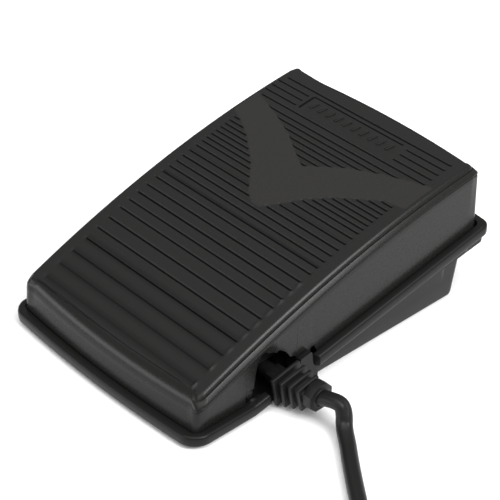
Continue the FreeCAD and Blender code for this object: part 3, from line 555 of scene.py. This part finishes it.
def cover_top(points, border, pairs, front_row, rear_row):
    """Adds the top face's inner points to the list, and gives back its faces.

    Each row runs between two facing border points. Rows beside a corner take up part of the bend
    of the front or rear edge.
    """
    shares = np.linspace(0, 1, FRONT_STEPS + 1)[1:-1, None]
    grid = [front_row]
    for index, (a, b) in enumerate(pairs[1:-1], 1):
        from_end = len(pairs) - 1 - index
        start, end = border[a][:2], border[b][:2]
        spots = start + (end - start) * shares
        bent = max(0.0, 1 - min(index, from_end) / CORNER_STEPS)
        if bent > 0:
            edge = border[front_row if index < from_end else rear_row][:, :2]
            spots = spots + (edge[1:-1] - edge[0] - (edge[-1] - edge[0]) * shares) * bent
        first = len(points)
        points += [np.array([x, y, 0.0]) for x, y in spots]
        grid.append([a, *range(first, len(points)), b])
    grid.append(rear_row)
    return [(lower[k], upper[k], upper[k + 1], lower[k + 1])
            for lower, upper in zip(grid[:-1], grid[1:]) for k in range(FRONT_STEPS)]


def pedal_cover():
    outline = CoverOutline()
    rings = cover_rings(outline)
    rings += cover_walls(outline, rings[0], rings[-1])
    count = len(rings[0])
    points = list(np.vstack(rings))
    edge_points = len(points)
    pairs, front_row, rear_row = cover_rows(count)
    walls = ring_faces(count, len(rings))
    top = cover_top(points, rings[0], pairs, front_row, rear_row)

    points = np.array(points)
    x, y = points[edge_points:, 0], points[edge_points:, 1]
    depth, groove_shade_share, flat = pattern_depth(x, y)
    points[edge_points:, 2] = crown(y) - depth

    # the ceiling: one quad per row between the two sides, and one face at each end
    base = edge_points - count
    ceiling = [(base + a, base + b, base + d, base + c) for (a, b), (c, d) in zip(pairs[:-1], pairs[1:])]
    ceiling += [tuple(base + i for i in front_row), tuple(base + i for i in rear_row[::-1])]

    # the first ring of wall faces is the top face's border, so it has the top's material
    kinds = [0] * count + [1] * (len(walls) - count) + [0] * len(top) + [1] * len(ceiling)
    cover = make_object("cover", points, walls + top + ceiling, [TOP, SIDE], kinds, 40)
    # the flat V's mask, and the share of painted shade in the grooves
    for name, shares in (("pattern", flat), ("painted_groove_shade", groove_shade_share)):
        values = np.zeros(len(points), np.float32)
        values[edge_points:] = shares
        cover.data.attributes.new(name, "FLOAT", "POINT").data.foreach_set("value", values)
    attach(cover, "cover")
    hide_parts("pedal_cover")


def cover_marks():
    """A row of slanted raised bars where a word stood, as a plain generic pattern."""
    pile = Pile()
    bars, pitch, first, y = 10, 4.5, -23.8, 54.4
    slant = 0.25
    for index in range(bars):
        x = first + pitch * index
        points, faces = rounded_box((-0.75, -1.9, -0.3), (0.75, 1.9, 0.45), 0.25)
        skew = points[:, 0] + slant * points[:, 1]
        spots = np.column_stack([x + skew, y + points[:, 1], crown(y + points[:, 1]) + points[:, 2]])
        pile.add((spots, faces))
    marks = pile.build("cover_marks", [SIDE])
    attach(marks, "cover")


def cover_ribs():
    """Knuckles, spring seats, stops and fingers under the cover."""
    pile = Pile()
    for side in (-1, 1):
        x = side * KNUCKLE_X
        top = float(crown(HINGE_Y)) - 2.4
        for y_low, y_high, z_low, z_high in ((-4.2, 4.2, 1.7, top - HINGE_Z), (-4.2, -1.7, -3.4, 1.8),
                                             (1.7, 4.2, -3.4, 1.8)):
            pile.add(rounded_box((x - 1.5, HINGE_Y + y_low, HINGE_Z + z_low),
                                 (x + 1.5, HINGE_Y + y_high, HINGE_Z + z_high), 0.3))
        seat = float(crown(SPRING_Y)) - 2.3
        pile.add(turned([(30.0, 2.6), (30.3, 3.3), (seat, 3.4)], "z", (side * SPRING_X, SPRING_Y, 0)))
        stop_top = float(crown(27.5)) - 2.6
        pile.add(rounded_box((side * 42 - 2.5, 27.5, 19.4), (side * 42 + 2.5, 32.5, stop_top), 0.4))
    pile.add(rounded_box((-1, 16, 21.8), (3, 20, float(crown(16)) - 2.2), 0.3))
    pile.add(rounded_box((21, -27, 13.5), (25, -23, float(crown(-27)) - 2.2), 0.3))
    ribs = pile.build("cover_ribs", [SIDE])
    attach(ribs, "cover")


# ---- base tray --------------------------------------------------------------------------------

TRAY_SIDE_STEPS, TRAY_FRONT_STEPS = 180, 60


def tray_outline(half, front, rear, corners, bowed=True):
    """The tray's outline in plan, with the same number of points whatever its size."""
    steps = np.linspace(0, 1, TRAY_SIDE_STEPS)
    points, _, _ = rounded_plan(half, front, rear, corners, steps, TRAY_FRONT_STEPS)
    return bow(points, half, front, rear) if bowed else points


def pan_depth(y):
    """How far the tray's ledge is cut down beside the cover's skirt, for its stroke."""
    return PAN_DEPTH + np.maximum(0, y - KINK_Y) * PAN_SLOPE


def pan_floor(y):
    return ledge(y) - pan_depth(y)


def underside(y):
    """Height of the rim's underside, which is lower at the rear where the pan is deep."""
    under = ledge(y) - RIM_THICK
    return np.where(y > DEEP_PAN_Y, np.minimum(under, pan_floor(y) - PAN_FLOOR_THICK), under)


def tray_shell():
    """The tray's closed skin: rings from the floor inside, over the rim, and down the outside."""
    outer = tray_outline(TRAY_HALF, TRAY_FRONT, TRAY_REAR, TRAY_CORNERS)
    well = tray_outline(COVER_HALF + COVER_GAP, COVER_FRONT - COVER_GAP, COVER_REAR + REAR_GAP,
                        [radius * CORNER_TIGHT + COVER_GAP for radius in COVER_CORNERS])
    reach = np.linalg.norm(outer - well, axis=1)[:, None]
    y = outer[:, 1]
    right = outer[:, 0] > TRAY_HALF - 1.0
    gapped = right & (y > -38.2) & (y < -14.9)
    slot = right & (y > -17.4) & (y < -14.9)
    window = slot | (right & (y > -37.3) & (y < -22.9))
    window_low = np.where(slot, 7.0, 1.3 + (y + 36.2) * 0.184)

    def across_rim(share, height):
        """A ring at a share of the way from the rim's outside to the well, pulled in at the rim's gap."""
        share = np.where(gapped[:, None], np.maximum(share, RIM_GAP_DEPTH / reach), share)
        ring = outer + (well - outer) * share
        return np.column_stack([ring, np.where(window, np.minimum(height, window_low), height)])

    def at(inset, height):
        """A ring at a distance in from the rim's outside."""
        return across_rim(inset / reach, height)

    def by_well(distance, height):
        """A ring at a distance out from the well's wall."""
        return across_rim(1 - distance / reach, height)

    def tub(half, front, rear, corner, height):
        """A ring of the tub whose height is a function of the place along the pedal."""
        ring = tray_outline(half, front, rear, (corner, corner), bowed=False)
        z = height(ring[:, 1])
        return np.column_stack([ring, np.where(window, np.minimum(z, window_low), z)])

    def flared_tub(share):
        """The tub's outside, wider the higher it is: share 0 is at the rim's underside, 1 at the floor."""
        ring = tub(48.7, -70.4, TUB_REAR, TUB_CORNER,
                   lambda y: underside(y) + (FLOOR_LOW + 0.5 - underside(y)) * share)
        grow = TUB_FLARE * np.clip(ring[:, 2] - FLOOR_LOW, 0, None)
        ring[:, 0] += np.sign(ring[:, 0]) * (np.abs(ring[:, 0]) > 40) * grow
        ring[:, 1] += (ring[:, 1] > 50) * grow
        return ring

    top = ledge(y)
    under = top - RIM_THICK
    rings = [
        tub(46.9, -68.2, TUB_REAR - 1.8, 2.2, lambda y: np.full_like(y, FLOOR_TOP)),
        tub(47.2, -68.3, TUB_REAR - 1.2, 2.4, lambda y: np.minimum(pan_floor(y) - 0.3, 14.0)),
        tub(47.4, -68.4, TUB_REAR, 2.6, pan_floor),
        by_well(0.0, pan_floor(y)),
        by_well(0.0, top - 0.25),
        by_well(0.12, top - 0.06),
        by_well(0.35, top),
        at(1.05, top),
        at(0.7, top - 0.07),
        at(0.36, top - 0.28),
        at(0.12, top - 0.62),
        at(0.0, top - 1.1),
        at(0.0, top - RIM_THICK + 0.7),
        at(0.15, top - RIM_THICK + 0.25),
        at(0.5, under),
        at(1.5, under),
        at(1.65, underside(y)),
        flared_tub(0.0),
        flared_tub(0.5),
        flared_tub(0.96),
        tub(48.5, -70.2, TUB_REAR - 0.2, TUB_CORNER - 0.2, lambda y: np.full_like(y, FLOOR_LOW + 0.12)),
        tub(48.0, -69.7, TUB_REAR - 0.7, TUB_CORNER - 0.4, lambda y: np.full_like(y, FLOOR_LOW)),
    ]

    return np.vstack(rings), closed_faces(len(outer), len(rings))


def base_tray():
    pile = Pile()
    pile.add(tray_shell())
    foot = FLOOR_TOP - 0.1
    for side in (-1, 1):
        x = side * POST_X
        for low, high in (((x - 2, HINGE_Y - 4, foot), (x + 2, HINGE_Y + 4, HINGE_Z - 1.5)),
                          ((x - 2, HINGE_Y - 4, HINGE_Z - 1.6), (x + 2, HINGE_Y - 1.5, 11.6)),
                          ((x - 2, HINGE_Y + 1.5, HINGE_Z - 1.6), (x + 2, HINGE_Y + 4, 11.6))):
            pile.add(rounded_box(low, high, 0.3))
        seat = [(foot, 5.6), (5.8, 5.6), (6.0, 5.4), (6.0, 2.4), (9.7, 2.3), (10.0, 1.9)]
        pile.add(turned(seat, "z", (side * SPRING_X, SPRING_Y, 0)))
    board_posts = [(x, y, 9.0) for x in (-30, 10) for y in (-8, 41)]
    clamp_posts = [(38, INLET_Y + y, 11.6) for y in (-9, 9)]
    for x, y, top in board_posts + clamp_posts:
        pile.add(turned([(foot, 3.3), (4.0, 3.0), (top, 3.0)], "z", (x, y, 0)))
    pile.add(tab_plate())
    tray = pile.build("tray", [TRAY], 38)
    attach(tray, "base")
    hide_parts("base_tray")


def tab_plate():
    """The small upright tab of the tray beside the cord inlet, with a slanted rear edge."""
    outline = [(-23.1, 2.0), (-14.6, 2.0), (-14.6, 4.6), (-17.0, 9.4), (-17.6, 14.4), (-18.1, 14.9),
               (-22.6, 14.2), (-23.1, 13.7)]
    points = [(x, y, z) for x in (49.4, 51.2) for y, z in outline]
    return np.array(points), closed_faces(len(outline), 2)


# ---- cord inlet -------------------------------------------------------------------------------

PLATE_Y, PLATE_Z = -28.9, 10.3


def octagon_plate(x0, x1, wide, high, cut, edge=0.35):
    """A plate across X with its four corners cut off and its edges rounded."""
    points = []
    for x, inset in ((x0, edge), (x0 + edge * 0.3, edge * 0.3), (x0 + edge, 0), (x1 - edge, 0),
                     (x1 - edge * 0.3, edge * 0.3), (x1, edge)):
        w, h = wide / 2 - inset, high / 2 - inset
        points += [(x, PLATE_Y + y, PLATE_Z + z) for y, z in
                   ((-w + cut, -h), (w - cut, -h), (w, -h + cut), (w, h - cut), (w - cut, h), (-w + cut, h),
                    (-w, h - cut), (-w, -h + cut))]
    return np.array(points), closed_faces(8, len(points) // 8)


def strain_relief():
    """The ribbed cord guard that stands out of the tray's side, drawn in towards its end plate."""
    pile = Pile()
    ribs, pitch, first, thick = 4, 3.25, 51.6, 1.6
    start_y, start_z = INLET_Y - 0.1, INLET_Z

    def add_slab(x0, x1, wide, high, radius=0.4):
        """A slab whose middle drifts from the inlet to the end plate."""
        share = np.clip(((x0 + x1) / 2 - first) / (RELIEF_END - first), 0, 1)
        y = start_y + (PLATE_Y - start_y) * share
        z = start_z + (PLATE_Z - start_z) * share
        points, faces = rounded_box((x0, -wide / 2, -high / 2), (x1, wide / 2, high / 2), radius)
        c, s = math.cos(INLET_LEAN), math.sin(INLET_LEAN)
        py, pz = points[:, 1].copy(), points[:, 2].copy()
        points[:, 1], points[:, 2] = y + py * c - pz * s, z + py * s + pz * c
        pile.add((points, faces))

    add_slab(44.7, 52.0, 6.6, 5.6, 0.5)
    for index in range(6):
        x = 51.2 + 2.4 * index
        add_slab(x, x + 2.9, 8.8 - 0.3 * index, 8.2 - 0.2 * index, 0.5)
    for index in range(ribs):
        x = first + pitch * index
        add_slab(x, x + thick, 13.4 - 1.2 * index, 12.4 - 0.75 * index, 0.45)
    plate_end = RELIEF_END - 1.4
    pile.add(octagon_plate(plate_end - 4.0, plate_end, 10.4, 10.2, 2.8))
    pile.add(turned([(plate_end - 0.4, 3.9), (plate_end + 0.1, 3.9), (plate_end + 0.35, 3.6),
                     (plate_end + 0.35, 3.1), (plate_end - 0.3, 3.0)], "x", (0, PLATE_Y, PLATE_Z)))
    relief = pile.build("strain_relief", [CORD], 38)
    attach(relief, "base")
    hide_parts("cord_strain_relief")
    return relief


# ---- free cord --------------------------------------------------------------------------------

CORD_ROUTE = [(67.2, -28.9, 10.3), (74.8, -27.2, 12.5), (77.2, -27.1, 9.0), (79.0, -29.0, 4.4),
              (85.5, -33.4, 3.0), (91.0, -38.0, 3.05), (105.5, -49.0, 3.1), (127.0, -64.5, 3.05),
              (145.0, -80.0, 3.1)]
TAIL_ROUTE = [(114.0, -161.2, 8.6), (103.5, -160.4, 5.4), (97.0, -155.8, 3.7), (90.0, -153.4, 3.6)]
COIL_X, COIL_Y = 126.8, -121.4
COIL_START, COIL_END = 36.87, -90.0
COIL_OUTER, COIL_STEP = 39.0, 6.0
COIL_LAYERS = (3.0, 9.0)
POINTS_PER_TURN = 24


def coil_radius_and_height(turn):
    """Where the wound cord is after a number of turns: down through rings, up a layer, and out again."""
    whole = math.floor(turn)
    shift = float(smooth(0.8, 1.0, turn - whole))
    rings_down = min(whole + (shift if whole < 3 else 0), 3)
    rings_up = max(0.0, min(whole - 4 + (shift if whole < 7 else 0), 3)) if whole >= 4 else 0.0
    radius = COIL_OUTER - COIL_STEP * rings_down + COIL_STEP * rings_up
    height = COIL_LAYERS[0]
    if whole == 3:
        height += (COIL_LAYERS[1] - COIL_LAYERS[0]) * shift
        radius -= 2.1 * math.sin(math.pi * shift)
    elif whole > 3:
        height = COIL_LAYERS[1]
    return radius, height


def coil_points():
    turns = 7 + (COIL_START - COIL_END) / 360
    steps = round(turns * POINTS_PER_TURN)
    points = []
    for step in range(steps + 1):
        turn = turns * step / steps
        angle = math.radians(COIL_START - 360 * turn)
        radius, height = coil_radius_and_height(turn)
        points.append((COIL_X + radius * math.cos(angle), COIL_Y + radius * math.sin(angle), height))
    return points


def smooth_line(points):
    """Points along the NURBS spline that has these control points, in metres."""
    curve = bpy.data.curves.new("cord_route", "CURVE")
    curve.dimensions = "3D"
    spline = curve.splines.new("NURBS")
    spline.points.add(len(points) - 1)
    for point, place in zip(spline.points, points):
        point.co = (*[v * MM for v in place], 1)
    spline.order_u = 3
    spline.use_endpoint_u = True
    spline.resolution_u = 6
    holder = bpy.data.objects.new("cord_route", curve)
    bpy.context.scene.collection.objects.link(holder)
    bpy.context.view_layer.update()
    line = bpy.data.meshes.new_from_object(holder)
    path = [v.co.copy() for v in line.vertices]
    bpy.data.objects.remove(holder)
    return path


def flat_twin_section(steps=28):
    """Section of a flat two-core cord: an oval with a shallow crease along each flat side."""
    section = []
    for k in range(steps):
        a = 2 * math.pi * k / steps
        wide, high = 3.0 * math.cos(a), 2.72 * math.sin(a)
        crease = 0.42 * math.exp(-(wide / 0.8) ** 2)
        section.append((wide, high - math.copysign(crease, high)))
    return section


def sweep(path, section):
    """A closed tube of this section along a path in metres, kept level side to side."""
    points = []
    for index, place in enumerate(path):
        ahead = path[min(index + 1, len(path) - 1)] - path[max(index - 1, 0)]
        ahead.normalize()
        side = ahead.cross(Vector((0, 0, 1))).normalized()
        up = side.cross(ahead).normalized()
        for wide, high in section:
            points.append((place + side * (wide * MM) + up * (high * MM)) / MM)
    return np.array(points), closed_faces(len(section), len(path))


def cord_tie():
    """A strap round the wound cord."""
    band = Pile()
    low, high, thick, half = 17.0, 43.0, 1.0, 3.6
    angle = math.radians(-20)
    for x_low, x_high, z_low, z_high in ((low, low + thick, 0.1, 12.9), (high - thick, high, 0.1, 12.9),
                                         (low, high, 12.1, 13.0)):
        points, faces = rounded_box((x_low, -half, z_low), (x_high, half, z_high), 0.35)
        x, y = points[:, 0].copy(), points[:, 1].copy()
        points[:, 0] = COIL_X + x * math.cos(angle) - y * math.sin(angle)
        points[:, 1] = COIL_Y + x * math.sin(angle) + y * math.cos(angle)
        band.add((points, faces))
    tie = band.build("coil_tie", [TIE])
    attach(tie, "base")
    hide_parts("cord_tie")
    return tie


PLUG_Y, PLUG_Z = -153.4, 6.2
NECK_Z = 5.0
PLUG_PITCH = 5.5
NECK = [(78.4, 5.2), (79.2, 5.2), (79.6, 4.9), (81.5, 4.8), (82.0, 4.3), (83.2, 4.3), (83.6, 4.5),
        (85.0, 4.4), (85.5, 3.9), (86.8, 3.9), (87.2, 4.1), (88.6, 4.0), (89.1, 3.6), (90.0, 3.6)]
SOCKET = [(56.4, 1.75), (56.0, 1.9), (56.0, 2.35), (56.3, 2.5), (58.0, 2.5)]
CONTACT = [(58.0, 1.15), (56.5, 1.15), (56.3, 1.3), (56.3, 1.5), (56.6, 1.6), (60.0, 1.6)]


def machine_plug():
    """The three-pole connector at the cord's far end, with its neck."""
    pile = Pile()
    pile.add(rounded_box((57.5, PLUG_Y - 10, 0.2), (79, PLUG_Y + 10, 12.4), 1.4, 4))
    pile.add(turned(NECK, "x", (0, PLUG_Y, NECK_Z)))
    for y_low, y_high in ((-10.4, -9.568), (9.568, 10.4)):
        for k in range(5):
            x = 64 + 2.6 * k
            pile.add(rounded_box((x, PLUG_Y + y_low, 3.0), (x + 1.3, PLUG_Y + y_high, 10.0), 0.3))
    for index in (-1, 0, 1):
        pile.add(turned(SOCKET, "x", (0, PLUG_Y + PLUG_PITCH * index, PLUG_Z)))
    plug = pile.build("plug", [PLUG], 35)
    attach(plug, "base")
    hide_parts("machine_plug")
    sleeves = Pile()
    for index in (-1, 0, 1):
        sleeves.add(turned(CONTACT, "x", (0, PLUG_Y + PLUG_PITCH * index, PLUG_Z)))
    tubes = sleeves.build("plug_contacts", [BRASS])
    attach(tubes, "base")
    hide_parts("plug_sleeves")
    return [plug, tubes]


def free_cord(pieces):
    path = smooth_line(CORD_ROUTE + coil_points() + TAIL_ROUTE)
    points, faces = sweep(path, flat_twin_section())
    cord = make_object("cord", points, faces, [CORD], None, 60)
    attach(cord, "base")
    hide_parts("power_cord", "cord_tail", "cord_coil")
    return cord


# ---- floor, light, camera ---------------------------------------------------------------------

def studio():
    floor_mesh = bpy.data.meshes.new("floor")
    reach = 6.0
    corners = [(-reach, -reach, 0), (reach, -reach, 0), (reach, reach, 0), (-reach, reach, 0)]
    floor_mesh.from_pydata(corners, [], [(0, 1, 2, 3)])
    floor = bpy.data.objects.new("floor", floor_mesh)
    bpy.context.scene.collection.objects.link(floor)
    floor_mesh.materials.append(plastic("floor", (0.93, 0.93, 0.93), 0.9))

    world = bpy.data.worlds.new("studio")
    bpy.context.scene.world = world
    world.use_nodes = True
    nodes, links = world.node_tree.nodes, world.node_tree.links
    place = nodes.new("ShaderNodeTexCoord")
    split = nodes.new("ShaderNodeSeparateXYZ")
    spread = nodes.new("ShaderNodeMapRange")
    spread.inputs["From Min"].default_value = -0.7
    spread.inputs["From Max"].default_value = 0.7
    spread.inputs["To Min"].default_value = 0.2
    spread.inputs["To Max"].default_value = 0.5
    links.new(place.outputs["Generated"], split.inputs["Vector"])
    links.new(split.outputs["Y"], spread.inputs["Value"])
    links.new(spread.outputs["Result"], nodes["Background"].inputs["Strength"])
    nodes["Background"].inputs["Color"].default_value = (1, 1, 1, 1)

    def softbox(name, place, target, width, height, power):
        light = bpy.data.lights.new(name, "AREA")
        light.shape = "RECTANGLE"
        light.size, light.size_y = width, height
        light.energy = power
        lamp = bpy.data.objects.new(name, light)
        lamp.location = place
        lamp.rotation_euler = (Vector(target) - Vector(place)).to_track_quat("-Z", "Y").to_euler()
        bpy.context.scene.collection.objects.link(lamp)

    softbox("right", (0.92, 0.10, 0.93), (0, 0, 0.03), 0.6, 0.45, 12.5)
    softbox("front", (-0.5, -1.0, 0.25), (0, 0, 0.02), 1.2, 0.3, 6)
    sun = bpy.data.lights.new("sun", "SUN")
    sun.energy = 2.6
    sun.angle = math.radians(70)
    lamp = bpy.data.objects.new("sun", sun)
    lamp.rotation_euler = (math.radians(12), math.radians(14), 0)
    bpy.context.scene.collection.objects.link(lamp)
    bpy.context.scene.view_settings.view_transform = "Standard"


def camera():
    azimuth, elevation, distance = math.radians(47.76), math.radians(35.6), 0.66791
    target = Vector((0.00039, -0.00106, 0.02392))
    level = math.cos(elevation)
    back = Vector((math.sin(azimuth) * level, -math.cos(azimuth) * level, math.sin(elevation)))
    data = bpy.data.cameras.new("camera")
    data.lens = 129.73
    data.sensor_width = 36
    eye = bpy.data.objects.new("camera", data)
    eye.location = target + back * distance
    eye.rotation_euler = (-back).to_track_quat("-Z", "Y").to_euler()
    bpy.context.scene.collection.objects.link(eye)
    bpy.context.scene.camera = eye


finish_carried_nodes()
pedal_cover()
cover_marks()
cover_ribs()
base_tray()
relief_piece = strain_relief()
free_cord([relief_piece, cord_tie(), *machine_plug()])
studio()
camera()
